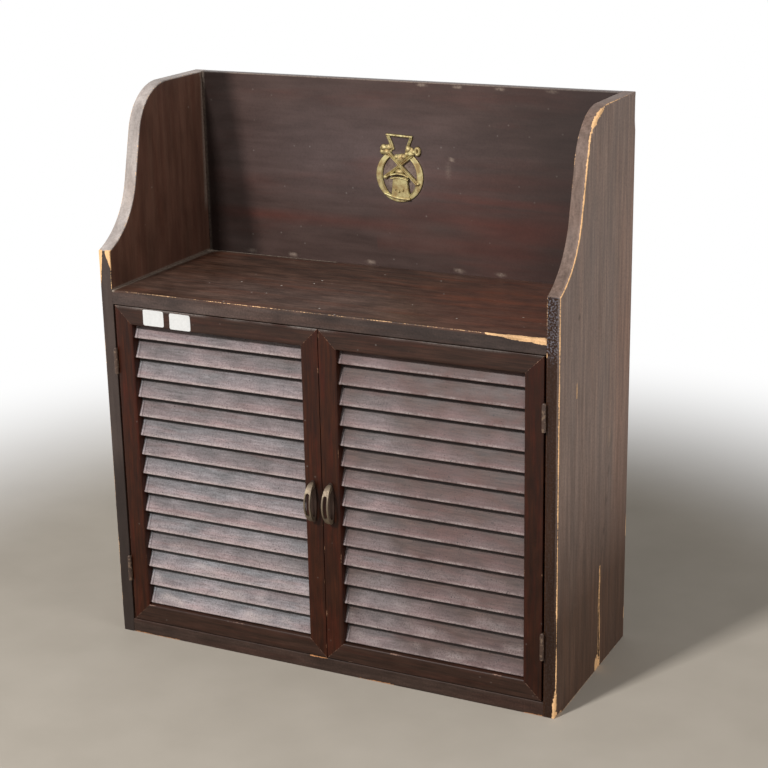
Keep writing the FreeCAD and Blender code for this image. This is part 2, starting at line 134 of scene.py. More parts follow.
def rounded_profile(width, thick, radii, per_corner=5, per_side=9):
    """Points round a rectangle from (0, 0) to (width, thick), as (u, v). Each corner is a quarter circle of its
    own radius: its centre plus radius times (cos, sin) of an angle that turns by 90 degrees. Straight runs
    between the corners are divided evenly."""
    turns = np.radians([180, 270, 0, 90])
    corner_u = np.array([0, width, width, 0])
    corner_v = np.array([0, 0, thick, thick])
    inward_u, inward_v = np.array([1, -1, -1, 1]), np.array([1, 1, -1, -1])
    arcs = []
    for turn, u, v, du, dv, radius in zip(turns, corner_u, corner_v, inward_u, inward_v, radii):
        angles = turn + np.linspace(0, math.pi / 2, per_corner)
        arcs.append(np.stack([u + du * radius + radius * np.cos(angles),
                              v + dv * radius + radius * np.sin(angles)], -1))
    share = np.linspace(0, 1, per_side)[1:-1, None]
    runs = [a[-1] + share * (b[0] - a[-1]) for a, b in zip(arcs, arcs[1:] + arcs[:1])]
    return np.concatenate([part for pair in zip(arcs, runs) for part in pair])


def ripple(t, wave, phase=0.0):
    """An uneven wave from about -1 to 1 along t: three sines whose lengths don't fit each other."""
    turn = 2 * math.pi * np.asarray(t) / wave + phase
    return 0.5 * np.sin(turn) + 0.3 * np.sin(2.3 * turn + 1.3) + 0.2 * np.sin(5.1 * turn + 4.2)


def held(t):
    """t, held between 0 and 1."""
    return np.clip(t, 0, 1)


def ramp(t, low, high):
    """0 below low, 1 above high, and straight between them."""
    return held((t - low) / (high - low))


def patch(u, v, middle, half):
    """1 inside an oval patch, 0.5 on its outline, 0 half its size further out."""
    return held(1.5 - np.hypot((u - middle[0]) / half[0], (v - middle[1]) / half[1]))


def worn_line(edge, width):
    """1 on an arris, 0.5 at that width from it and 0 at twice the width."""
    return held(1 - edge / np.maximum(2 * width, 1e-6))


def from_arris(u, v, radius):
    """Distance to a rounded arris, from the distances to its two faces: the round's nearest point to the
    corner lies 0.414 of its radius away."""
    return np.maximum(np.hypot(u, v) - 0.414 * radius, 0)


def between(t, low, high, soft):
    """1 where t lies between low and high, falling to 0 over a soft stretch beyond each."""
    return held((t - low) / soft + 1) * held((high - t) / soft + 1)


def over(*marks):
    """The strongest of several marks at each point."""
    return np.maximum.reduce(np.broadcast_arrays(*marks))


# --- Boards of the carcass ---

near_edge = board_arris + np.array([0.5, 1.1, 1.8, 2.8, 4.2, 6.0, 8.0])
edge_zone = near_edge[-1]


def stations(length, step, close_ups=()):
    """Places along a board's side: close over the rounded arrises, wider inside, closer in each close-up."""
    arris = board_arris * (1 - np.cos(np.linspace(0, math.pi / 2, 5)))
    start = np.concatenate([arris, near_edge])
    parts = [start, np.arange(edge_zone + step, length - edge_zone - step / 2, step), length - start]
    parts += [np.arange(low, high, fine) for low, high, fine in close_ups]
    return np.unique(np.concatenate(parts).round(3))


def skin(a, b, far, thick, strips, cuts=(0, 0)):
    """A board's closed skin over a grid of (a, b), as one dictionary of flat arrays.

    Both faces stand over the same grid, at heights 0 and thick. Over the arris each falls by
    arris - sqrt(arris^2 - (arris - far)^2), where far is the distance to the rim. The edge between them is
    divided into strips. The cuts are depths taken off the low and the high face, and the distances to the
    arrises are those of the uncut board."""
    inside = np.clip(board_arris - far, 0, board_arris)
    fall = board_arris - np.sqrt(board_arris ** 2 - inside ** 2)
    low, high = fall + cuts[0], thick - fall - cuts[1]
    index = np.arange(a.size).reshape(a.shape)
    rim = np.concatenate([index[0, :-1], index[:-1, -1], index[-1, :0:-1], index[:0:-1, 0]])
    share = np.linspace(0, 1, strips + 1)[1:-1, None]
    edge_h = low.ravel()[rim] * (1 - share) + high.ravel()[rim] * share
    uncut_edge = fall.ravel()[rim] * (1 - 2 * share) + thick * share
    inner_belts = 2 * a.size + np.arange(edge_h.size).reshape(edge_h.shape)
    belts = np.concatenate([rim[None], inner_belts, rim[None] + a.size])
    across = np.stack([belts[:-1], np.roll(belts[:-1], -1, 1), np.roll(belts[1:], -1, 1), belts[1:]], -1)
    face = np.stack([index[:-1, :-1], index[:-1, 1:], index[1:, 1:], index[1:, :-1]], -1).reshape(-1, 4)
    every = {
        key: np.concatenate([grid.ravel(), grid.ravel(), np.tile(grid.ravel()[rim], strips - 1)])
        for key, grid in (("a", a), ("b", b), ("far", far))
    }
    every["h"] = np.concatenate([low.ravel(), high.ravel(), edge_h.ravel()])
    uncut = np.concatenate([fall.ravel(), thick - fall.ravel(), uncut_edge.ravel()])
    every["low_arris"] = np.hypot(every["far"], uncut)
    every["high_arris"] = np.hypot(every["far"], thick - uncut)
    every["faces"] = face[:, ::-1].tolist() + (face + a.size).tolist() + across.reshape(-1, 4).tolist()
    return every


def plain_grid(length_a, length_b, step_a, step_b, close_a=(), close_b=()):
    """A rectangular board's grid of (a, b), and the distance of each point to the rim."""
    a, b = np.meshgrid(stations(length_a, step_a, close_a), stations(length_b, step_b, close_b))
    far = np.minimum.reduce([a, length_a - a, b, length_b - b])
    return a, b, far


def s_curve():
    """The side's front edge from its tip to the level top, as (depth, height).

    The cove is a circle's arc, radius times (sin, -cos) of an angle that grows from its start to the rake.
    A straight run follows at the rake, then the crest, an arc that turns back until it is level."""
    cove = np.linspace(cove_start, rake, 30)
    cove_y = cove_radius * (np.sin(cove) - math.sin(cove_start))
    cove_z = tip_height + cove_radius * (math.cos(cove_start) - np.cos(cove))
    run = np.linspace(0, rake_length, 16)[1:-1]
    run_y = cove_y[-1] + run * math.cos(rake)
    run_z = cove_z[-1] + run * math.sin(rake)
    start_y = cove_y[-1] + rake_length * math.cos(rake)
    start_z = cove_z[-1] + rake_length * math.sin(rake)
    crest = np.linspace(rake, 0, 44)
    crest_y = start_y + crest_radius * (math.sin(rake) - np.sin(crest))
    crest_z = start_z + crest_radius * (np.cos(crest) - math.cos(rake))
    return np.concatenate([cove_y, run_y, crest_y]), np.concatenate([cove_z, run_z, crest_z])


def side_grid(depth, height):
    """A side's grid of (depth, height) and each point's distance to the rim.

    Rows follow the front edge's own heights. Columns keep their distance from the front or back edge inside
    the edge zone, and share what lies between evenly."""
    curve_reach = 40.0         # columns further back than this never come close to the curve
    curve_y, curve_z = s_curve()
    curve_z = curve_z * height / curve_z[-1]
    rows = stations(tip_height, 6.0, close_ups=((0, 190, 2.5), (372, 396, 2.0), (440, tip_height, 1.5)))
    rows = np.concatenate([rows[rows < tip_height - 0.01], curve_z])
    front = np.interp(rows, curve_z, curve_y, left=0.0)
    columns = stations(depth, 7.0, close_ups=((10, 30, 2.0), (52, 58, 1.0), (136, 152, 0.7)))
    share = held((columns - edge_zone) / (depth - 2 * edge_zone))
    room = depth - front[:, None] - 2 * edge_zone
    behind = np.maximum(columns - depth + edge_zone, 0)
    a = front[:, None] + np.minimum(columns, edge_zone) + share * room + behind
    b = np.repeat(rows[:, None], len(columns), axis=1)
    straight_z = np.concatenate([np.arange(0, tip_height, 0.6), curve_z])
    straight_y = np.interp(straight_z, curve_z, curve_y, left=0.0)
    along = np.linspace(0, 1, 12)[:-1, None]
    fine_y, fine_z = ((v[:-1] + along * np.diff(v)).T.ravel() for v in (curve_y, curve_z))
    outline_y, outline_z = np.concatenate([straight_y, fine_y]), np.concatenate([straight_z, fine_z])
    far = np.minimum(depth - a, b)
    near = columns < curve_reach
    gap_y = a[:, near, None] - outline_y
    gap_z = b[:, near, None] - outline_z
    far[:, near] = np.minimum(far[:, near], np.sqrt(gap_y ** 2 + gap_z ** 2).min(-1))
    level = a > curve_y[-1]
    far[level] = np.minimum(far[level], height - b[level])
    far[:, 0] = 0
    return a, b, far


def board(name, node, material, places, faces, marks):
    """One board of the carcass. Its places are the X, Y and Z of its points from its node's lowest corner."""
    points = np.stack(places, -1) + corners(node)[0]
    make_piece(name, [(points, faces)], material, "carcass", (node,), marks)


# A mark's numbers say where it lies: a patch has its middle and its half size, and a stretch its two ends, in
# millimetres from the board's front or left edge (a) and from its lower or front edge (b).

def right_side(material):
    """The right side: a pale worn line down its outer front arris, a broken crest and a long split low down."""
    thick, depth, height = size_of("side_right")
    split_top, split_middle = 136.0, 145.0
    chip_reach = 4.0

    def split(a, b):
        """Distance to the split's wandering middle line, and its opening: 0 at the top, 1 at the foot."""
        return np.abs(a - split_middle - 2.0 * ripple(b, 130)), held((split_top - b) / split_top)

    a, b, far = side_grid(depth, height)
    off, opening = split(a, b)
    groove = 2.4 * held(1 - off / (0.7 + 2.0 * opening ** 1.2)) * (b < split_top)
    near_rim = held(1 - far / chip_reach)
    corner_chip = 2.6 * near_rim * (a < 20) * held(1 - b / 38)
    crest_chip = 2.0 * near_rim * patch(b, far, (676, 0), (17, 5))
    arris_wear = 0.35 * worn_line(far, 0.8) * (b > 1)
    s = skin(a, b, far, thick, 16, cuts=(0 * a, groove + corner_chip + crest_chip + arris_wear))
    a, b, h, far, outer, inner = (s[key] for key in ("a", "b", "h", "far", "high_arris", "low_arris"))
    outside, round_outside = h > thick - 3, h > thick - 4
    in_front = (far < 14) * held((depth - 20 - a) / 90)
    line = worn_line(outer, 0.7 + 0.2 * ripple(b, 150) + 0.4 * between(b, 560, 640, 60)) * in_front ** 0.3
    inner_stretches = over(between(b, 470, 505, 12), 0.7 * between(b, 610, 690, 20))
    inner_line = worn_line(inner, 0.5) * inner_stretches * in_front
    crest = between(b, 678, 690, 4) * held(1.5 - outer / (2.7 + 0.5 * ripple(b, 9))) * in_front
    foot = between(b, 0, 26, 16) * held(1.2 - outer / (3.6 + 1.2 * ripple(b, 14))) * (a < 20)
    inner_spot = patch(b, inner, (440, 0), (3.5, 1.2)) * (a < 3)
    off, opening = split(a, b)
    lips = held(1 - np.abs(off - 1.2 - 2.2 * opening ** 1.2) / 1.1) * (b < split_top)
    gap = held(1.2 - off / (0.9 + 1.6 * opening ** 1.2)) * (b < split_top)
    broken_out = patch(a, b, (split_middle - 4, 6), (9, 13))
    splinter = patch(a, b, (55, 384), (1.3, 9)) * outside
    rear_chips = over(patch(a, b, (depth - 1, 152), (1.6, 14)), patch(a, b, (depth - 1, 33), (1.6, 9)))
    s_edge = (far < 1.5) * (b > tip_height) * (a < depth - 2)
    front_edge = (a < 3) * (b < tip_height) * (h > 1) * (h < thick - 1)
    crack_line = split_middle + 3 + 0.19 * (b - split_top)
    hairline = held(1 - np.abs(a - crack_line) / 1.6) * between(b, 140, 262, 30)
    knot = patch(a, b, (60, 470), (2.8, 4.0))
    scratch = patch(a, b, (172, 294), (1.8, 14))
    marks = {
        "bare": over(line, inner_line, crest, foot, splinter, inner_spot,
                     over(lips, broken_out, rear_chips) * round_outside),
        "dark": over(gap * round_outside, (0.55 * hairline + 0.8 * knot) * outside, 0.54 * front_edge),
        "pocked": over(0.62 * between(b, 446, tip_height - 3, 20), 0.06)
                  * (far < 1.2) * (a < 3) * (b < tip_height),
        "dust": 0.8 * scratch * outside,
        # Painted reflection and sheen: the outer face grows lighter towards the top and the S-shaped edge is
        # paler, as where they would catch the room's light.
        "faded_and_sheen": over(0.66 * s_edge, (0.12 + 0.8 * held((b - 110) / 190)) * outside),
        "ruddy": 0.7 * between(a, depth - 40, depth - 14, 25) * outside
                 * held((640 - b) / 200) * held((b - 60) / 200),
    }
    board("side_board_right", "side_right", material, (h, a, b), s["faces"], marks)


def left_side(material):
    """The left side: bare wood broken out of the front edge under its tip."""
    shelf_top = corners("shelf")[1][2]
    thick, depth, height = size_of("side_left")
    a, b, far = side_grid(depth, height)
    rounded = 0.5 * worn_line(far, 2.0) * held(1 - b / 30) * (a < 20)
    s = skin(a, b, far, thick, 16, cuts=(rounded, rounded))
    a, b, h, far, outer, inner = (s[key] for key in ("a", "b", "h", "far", "low_arris", "high_arris"))
    above, below_tip, inside = b > shelf_top, b < tip_height + 1, h > thick - 2
    on_edge = (far < 1.6) * (a < 3)
    outer_strip = held(0.5 + (5.4 * held((b - 458) / 49) - h) / 1.5) * (b > 456)
    inner_patch = held(0.5 + (7.0 * held((b - 484) / 20) - (thick - h)) / 1.5) * (b > 482)
    under_tip = worn_line(inner, 0.5) * between(b, 462, 490, 8)
    outer_line = 0.9 * worn_line(outer, 0.55 + 0.2 * ripple(b, 90)) * (b > 40) * (a < depth - 30)
    inner_line = 0.75 * worn_line(inner, 0.45) * (b > tip_height) * (a < depth - 20)
    s_edge = (far < 1.5) * (b > tip_height) * (a < depth - 2)
    rear_joint = 0.6 * between(depth - a, 12.5, 15.0, 0.8) * above
    shelf_joint = 0.5 * between(b, shelf_top, shelf_top + 0.9, 0.9)
    marks = {
        "bare": over(over(outer_strip, inner_patch) * on_edge * below_tip, under_tip, outer_line, inner_line),
        "dark": (0.75 + 0.13 * held((260 - b) / 40)) * on_edge * (b < tip_height),
        # Painted sheen on the S-shaped edge; the front edge and the outer face are paler too.
        "faded_and_sheen": over(0.95 * s_edge, 0.3 * on_edge, 0.6 * (h < 3) * (far > 1.5)),
        "dust": over(rear_joint, shelf_joint) * inside,
        "crumbs": 0.25 * inside * above,
    }
    board("side_board_left", "side_left", material, (h, a, b), s["faces"], marks)


def shelf_board(material):
    """The shelf: a worn front arris, and a strip of bare wood that thickens to the right end."""
    wide, deep, thick = size_of("shelf")
    a, b, far = plain_grid(wide, deep, 4.0, 6.0, close_a=((4, 24, 2.0), (484, wide, 2.0)))
    strip_start, strip_end = 494.0, 567.0
    torn = 1.6 * held(1 - far / 4) * ramp(a, strip_start, strip_end) * (b < 8)
    s = skin(a, b, far, thick, 18, cuts=(0 * a, torn))
    a, b, h, front_top = (s[key] for key in ("a", "b", "h", "high_arris"))
    front = (b < 6) * (s["far"] < 6)
    on_top = h > thick - 2
    strip_half = (1.6 + 3.8 * ramp(a, strip_start, strip_end)) * (a > strip_start) + 0.8 * ripple(a, 40)
    strip = held(0.5 + (strip_half - front_top) / 1.6) * (a > strip_start - 2)
    line = worn_line(front_top, 0.4 + 0.06 * ripple(a, 160)) * between(a, 24, wide, 14)
    left_joint = 0.55 * between(a, 0.3, 2.0 + 0.02 * b, 2.4 + 0.012 * b)
    rear_joint = 0.6 * between(deep - b, 0.5, 2.0, 0.8) * (a < 190)
    marks = {
        "bare": over(strip, line) * front,
        "dust": over(left_joint, patch(a, b, (5, deep - 4), (9, 6)), rear_joint) * on_top,
        "dark": (0.46 + 0.24 * ramp(a, 200, 400)) * front * (1 - on_top),
        "faded_and_sheen": over(0.3 * patch(a, b, (wide * 0.42, 60), (200, 60)) * on_top, 0.8 * front * (1 - on_top)),
        "ruddy": 0.55 * patch(a, b, (wide * 0.86, 120), (120, 120)) * on_top,
        "crumbs": 1.0 * on_top,
    }
    board("shelf_board", "shelf", material, (a, b, h), s["faces"], marks)


def bottom_board(material):
    """The bottom board, its lower front arris scraped at the left, near the middle and at the right."""
    wide, deep, thick = size_of("bottom_board")
    s = skin(*plain_grid(wide, deep, 4.0, 8.0), thick, 16)
    a, b, h = s["a"], s["b"], s["h"]
    front = (b < 6) * (s["far"] < 6)
    stretches = over(between(a, 4, 66, 8), between(a, 330, 372, 8), between(a, 545, 566, 6))
    scraped = worn_line(s["low_arris"], 1.0 + 0.5 * ripple(a, 50)) * stretches
    under_doors = worn_line(s["high_arris"], 1.0) * between(a, 262, 282, 5)
    marks = {"bare": over(scraped, under_doors) * front, "dark": 0.46 * front, "faded_and_sheen": 0.5 * front}
    board("bottom_board_skin", "bottom_board", material, (a, b, h), s["faces"], marks)


def back_board(material):
    """The back panel: filled nail holes in a row above the shelf and along the top edge."""
    wide, thick, tall = size_of("back_panel")
    low = corners("back_panel")[0]
    shelf_top = corners("shelf")[1][2]
    middle = wide / 2
    brass_a, brass_b = ornament_x - low[0], ornament_z - low[2]
    close_b = (shelf_top, shelf_top + 16, 2.0), (brass_b - 36, brass_b + 36, 2.5), (tall - 12, tall, 1.5)
    s = skin(*plain_grid(wide, tall, 5.0, 12.0, ((brass_a - 36, brass_a + 36, 2.5),), close_b), thick, 8)
    a, b, h = s["a"], s["b"], s["h"]
    front, above = h < 2, b > shelf_top
    low_holes = [patch(a, b, (middle + x, shelf_top + 4.5), (4.8, 2.2)) for x in (-219, -157, -44, 79, 135)]
    top_holes = [patch(a, b, (middle + x, tall - 3.5), (4.8, 1.8)) for x in (30, 78, 134, 200)]
    corner_pale = between(a, 0.5, 3.4, 0.8) * above
    # Painted shadow: a band beside the left side that widens downwards, and painted shade over the right end;
    # both are laid as the dark mark.
    shade_reach = 50 + 24 * (650 - b) / 165
    shaded = 0.76 * between(a, 4.0, shade_reach - 10, 20) + 0.56 * ramp(a, 380, 530)
    scratch = patch(a, b, (27, 654.5 - 0.07 * (a - 27)), (24, 0.8))
    smudge = over(0.2 * patch(a, b, (middle + 66, 588), (2.5, 9)),
                  0.7 * patch(a, b, (middle + 69, 602), (1.6, 2.4)))
    residue = 0.5 * patch(a, b, (brass_a, brass_b), (24, 24)) * (1 + 0.4 * ripple(a + b, 31))
    top_edge = 0.7 * worn_line(s["low_arris"], 0.7) * (b > tall - 3)
    glow = patch(a, b, (middle + 130, 520), (120, 46)) * np.clip(0.3 + 0.6 * ripple(b + 0.03 * a, 31), 0, 0.7)
    # Painted sheen: a pale, soft patch over the middle of the panel.
    painted_sheen = np.exp(-((a - middle + 60) / 170) ** 2 - ((b - 600) / 62) ** 2)
    low_band = between(b, 511, 518, 6) * between(a, 60, 270, 60) + 0.7 * between(b, 484, 488, 6) * (a > 250)
    marks = {
        "dark": shaded * (1 - scratch) * above * front,
        "dust": over(0.6 * over(*low_holes, *top_holes), 0.9 * corner_pale, 0.9 * scratch, smudge, residue,
                     top_edge) * front,
        "crumbs": 0.12 * front * above,
        "faded_and_sheen": 0.45 * painted_sheen * front,
        "ruddy": over(0.55 * held(low_band), glow) * front,
    }
    board("back_board", "back_panel", material, (a, h, b), s["faces"], marks)


# --- Doors ---

def mitred_bar(node, name, axis, inner_side, material, body, marks_for):
    """A stile or rail: a rounded rectangle carried from one mitre to the other.

    A point that lies across from the bar's outer edge ends that much short of both corners, which cuts the
    ends at 45 degrees. Where the doors meet, a point keeps back from the edge by its depth times the bevel's
    fall. Axis is the one that the bar runs along, 0 or 2, and inner_side is +1 where the opening lies on its
    higher side."""
    low, high = corners(node)
    cross = 2 - axis
    wide, thick, length = high[cross] - low[cross], high[1] - low[1], high[axis] - low[axis]
    is_meeting = node.endswith("meeting_stile")
    outer_arris = meeting_arris if is_meeting else bar_arris
    profile = rounded_profile(wide, thick, (outer_arris, frame_arris, bar_arris, outer_arris))
    across, behind = profile[:, 0], profile[:, 1]
    bevelled = np.maximum(across, meeting_fall * behind)
    across = bevelled if is_meeting else across
    starts = bevelled if axis == 0 and body == "right_door" else across
    stops = bevelled if axis == 0 and body == "left_door" else across
    ends = np.array([0, 0.3, 0.8, 1.6, 3.0])
    run = np.concatenate([ends, np.linspace(6, length - 2 * wide - 6, 110), length - 2 * wide - ends[::-1]])
    share = run / run[-1]
    along = starts + share[:, None] * (length - starts - stops)
    rings = np.empty((len(share), len(across), 3))
    rings[..., axis] = low[axis] + along
    rings[..., cross] = low[cross] + across if inner_side > 0 else high[cross] - across
    rings[..., 1] = low[1] + behind
    to_mitre = np.minimum(along - across, length - across - along) / math.sqrt(2)
    grids = np.broadcast_arrays(along, across, behind, to_mitre)
    marks = {key: value.ravel() for key, value in marks_for(*grids, wide).items()}
    make_piece(name, [tube(rings)], material, body, (node,), marks)


def frame_marks(seed, inner_wear, outer_wear, streaks=0.0, soiled=0.0, top_dust_and_highlight=0.0, handle_grime_and_shade=0.0):
    """Wear of one stile or rail: faint mitre lines, arrises rubbed in places, reddish streaks, dirt over the
    whole face, dirt from hands with painted shade about the handle, and dust with a painted highlight on the
    outer arris. A wear of -1 leaves an arris whole, and 0 rubs half of it."""
    def marks(along, across, behind, to_mitre, wide):
        """Each mark's strength at the bar's points."""
        face = behind < 1.0
        inner_edge = from_arris(wide - across, behind, frame_arris)
        outer_edge = from_arris(across, behind, bar_arris)
        mitre = 0.5 * held(1 - to_mitre / 0.9) * face
        inner = worn_line(inner_edge, 0.6) * held(inner_wear + 1.2 * ripple(along, 140, seed))
        outer = worn_line(outer_edge, 0.7) * held(outer_wear + 1.2 * ripple(along, 90, seed + 2))
        streak = streaks * held(ripple(along, 210, seed + 1) * 1.5) * held(
            1 - np.abs(across - 6 - 2 * ripple(along, 300, seed)) / 2.0) * face
        # Dirt from hands about the handle, together with painted shade where the handle's bow shades the stile.
        grime_and_shade = handle_grime_and_shade * np.exp(-((along - handle_middle) / 24) ** 2)
        # Dust on the outer arris, together with a painted highlight where a top rail's upper arris catches
        # light.
        arris_dust_and_highlight = top_dust_and_highlight * worn_line(outer_edge, 1.0) * held(0.7 + 1.4 * ripple(along, 230, seed))
        return {"bare": over(mitre, inner, outer), "ruddy": streak, "crumbs": 0.12 * face,
                "dark": (soiled + grime_and_shade) * face, "dust": arris_dust_and_highlight}
    return marks


def door_frame(side, stile_material, rail_material):
    """The four mitred members of a door's frame."""
    body = side + "_door"
    is_right = side == "right"
    seed = 1.0 if is_right else 4.0
    members = (
        ("hinge_stile", 2, -1 if is_right else 1,
         frame_marks(seed, -0.6, -0.5, streaks=0.5, soiled=0.28 if is_right else 0.0)),
        ("meeting_stile", 2, 1 if is_right else -1,
         frame_marks(seed + 1, -0.5, -0.5, streaks=0.5, handle_grime_and_shade=0.58)),
        ("top_rail", 0, -1,
         frame_marks(seed + 2, -1.0, -0.6, streaks=0.3, soiled=0.06, top_dust_and_highlight=0.3 if is_right else 0.55)),
        ("bottom_rail", 0, 1, frame_marks(seed + 3, -0.4, -0.6, streaks=0.3, soiled=0.08)),
    )
    for member, axis, inner_side, marks in members:
        node = body + "_" + member
        mitred_bar(node, node + "_skin", axis, inner_side, stile_material if axis == 2 else rail_material,
                   body, marks)


def slat(node, number, side, chance, material):
    """One slat: a rounded rectangle that leans back, carried along the slat, with a slow waver of a few tenths
    of a millimetre. Its width and thickness follow from a full slat's box, and the top one is cut flat."""
    low, high = corners(node)
    full_low, full_high = corners("left_door_slat_01")
    full = full_high - full_low
    lean_cos, lean_sin = math.cos(slat_lean), math.sin(slat_lean)
    across_sum, up_sum = full[1] - 2 * slat_round, full[2] - 2 * slat_round
    width = 2 * slat_round + across_sum * lean_sin + up_sum * lean_cos
    thick = 2 * slat_round + across_sum * lean_cos - up_sum * lean_sin
    profile = rounded_profile(thick, width, (slat_round,) * 4, per_corner=5, per_side=11)
    back, up = profile[:, 0], profile[:, 1]
    y = (back - slat_round) * lean_cos + (up - slat_round) * lean_sin
    z = (up - slat_round) * lean_cos - (back - slat_round) * lean_sin
    y, z = y - y.min() + full_low[1], z - z.min() + low[2]
    z = np.minimum(z, high[2])
    length = high[0] - low[0]
    close = np.linspace(0, slat_end_zone, 30)
    inner_run = np.linspace(slat_end_zone, length - slat_end_zone, 56)[1:-1]
    run = np.concatenate([close, inner_run, length - close[::-1]])
    x = low[0] + run
    waver = 0.12 * ripple(x, 170, chance.uniform(0, 6))[:, None] * np.sin(math.pi * up / width)
    nick = chance.uniform(0, 1, (len(x), 1)) ** 8 * 0.25 * (back + up < 2.5)
    rings = np.stack(np.broadcast_arrays(x[:, None], y + waver + nick, z + 0.5 * nick), -1)
    shape = rings.shape[:2]
    rise = np.broadcast_to(up / width, shape)
    on_face = np.broadcast_to(back < 1.0, shape)
    shown = np.minimum(run, length - run)[:, None] - slat_housed
    # A band just above the lower front arris: wear together with a painted highlight, laid as the dust mark.
    lip_wear_and_highlight = between(up, 0.6, 1.5, 0.5) * (back < 1.3)
    tone = chance.uniform(-1, 1)
    share = (run / length)[:, None]
    # Painted sheen: how much light each slat would reflect, strong on the left door and towards its lower
    # slats, weak on the right door but for a pale swell over its left part.
    if side == "left":
        sheen, rubbed = 0.66 - 0.012 * number + 0.08 * np.exp(-((share - 0.3) / 0.2) ** 2), 0.5
    else:
        sheen, rubbed = 0.01 - 0.006 * number + 0.3 * np.exp(-((share - 0.2) / 0.17) ** 2), 0.3
    patches = ripple(x, 190, chance.uniform(0, 6))[:, None]
    lowness = held(1 - number / 5) * (1.0 if side == "left" else 0.5)
    drift = 0.3 + 0.12 * ripple(x, 90, number)[:, None]
    settled = 0.62 * lowness * held(0.2 + 1.2 * ripple(x, 130, 1.7 * number))[:, None] * np.exp(
        -((rise - drift) / 0.16) ** 2) * on_face
    at_start = (run < length / 2)[:, None]
    end_strip = held(shown / 0.4) * held((3.0 - shown) / 0.4) * at_start
    end_line = held(1.4 - np.abs(shown - 3.9) / 0.9) * at_start
    far_end_shade = held(1 - shown / 7) * (run > length / 2)[:, None]
    # Painted light on the slat's face: sheen that grows towards its lower edge, a painted shadow along its top
    # under the slat above, and painted shade at its far end beside the stile.
    marks = {
        "dust": over((rubbed + 0.25 * ripple(x, 70, 2.4 * number)[:, None]) * lip_wear_and_highlight, settled),
        "dark": over(0.4 * end_line, 0.5 * far_end_shade * (0.4 + 0.6 * rise),
                     0.86 * held((rise - 0.7) / 0.09)) * on_face,
        "faded_and_sheen": (sheen + 0.5 * (0.4 - rise) + 0.15 * tone + 0.14 * patches + 0.35 * end_strip) * on_face,
        "ruddy": held(0.85 - 1.3 * rise + 0.3 * patches) * on_face,
    }
    marks = {key: np.broadcast_to(value, shape).ravel() for key, value in marks.items()}
    make_piece(node + "_skin", [tube(rings)], material, side + "_door", (node,), marks)


# --- Brass ---

ornament_low, ornament_high = corners("horse_brass")
ornament_x = (ornament_low[0] + ornament_high[0]) / 2
ornament_z = ornament_low[2] + 33.0          # the oval's middle above its lowest point


def relief(path, half_width, height, crown, looped=False):
    """A raised strip on the back panel, along a path of (x, z) about the oval's middle.

    At each station it lies half_width to both sides of the path, square to it, and stands up by height times
    the crown, a function of the place across from -1 to 1. Its flat underside lies on the panel."""
    x, z = path
    run_x, run_z = (np.roll(v, -1) - np.roll(v, 1) if looped else np.gradient(v) for v in (x, z))
    length = np.hypot(run_x, run_z)
    side_x, side_z = run_z / length, -run_x / length
    across = np.linspace(-1, 1, 15)
    top = crown(across)
    place = np.concatenate([across, across[-2:0:-1]])
    rise = np.concatenate([top, 0 * top[-2:0:-1]])
    half = np.broadcast_to(half_width, x.shape)[:, None]
    up = np.broadcast_to(height, x.shape)[:, None] * rise
    rings = np.stack([ornament_x + x[:, None] + side_x[:, None] * half * place,
                      panel_front_y - up,
                      ornament_z + z[:, None] + side_z[:, None] * half * place], -1)
    return tube(rings, looped)


def round_crown(across):
    """A half round with steep sides."""
    return held(1 - np.abs(across) ** 2.6) ** 0.6


def flat_crown(across):
    """A flat top with steep, softly rounded sides."""
    return held(1 - np.abs(across) ** 8) ** 0.6


def ridged_crown(across):
    """Two beads side by side with a groove between them."""
    return round_crown(across) * (1 - 0.42 * np.exp(-(across / 0.26) ** 2))


def lipped_crown(across):
    """A low flat band with a bead along its inner edge."""
    return flat_crown(across) * (0.74 + 0.26 * np.exp(-((across + 0.74) / 0.16) ** 2))


def line_path(start, end, bow=0.0, count=22):
    """A straight path, bowed to its side by a parabola of that height."""
    t = np.linspace(0, 1, count)
    run = np.subtract(end, start)
    side = np.array([-run[1], run[0]]) / np.hypot(*run)
    lift = 4 * bow * t * (1 - t)
    return start[0] + run[0] * t + side[0] * lift, start[1] + run[1] * t + side[1] * lift


def blob(x_middle, z_middle, x_half, z_half, height, lobes=0, depth=0.0):
    """A domed lump: rings that shrink as the cosine of an angle and rise as its sine, with lobes round it."""
    angle = np.linspace(0, math.radians(84), 9)[:, None]
    turn = np.linspace(0, 2 * math.pi, 33)[:-1]
    edge = 1 + depth * np.cos(lobes * turn)
    x = x_middle + x_half * np.cos(angle) * np.cos(turn) * edge
    z = z_middle + z_half * np.cos(angle) * np.sin(turn) * edge
    y = np.broadcast_to(height * np.sin(angle), x.shape)
    return tube(np.stack([ornament_x + x, panel_front_y - y, ornament_z + z], -1))


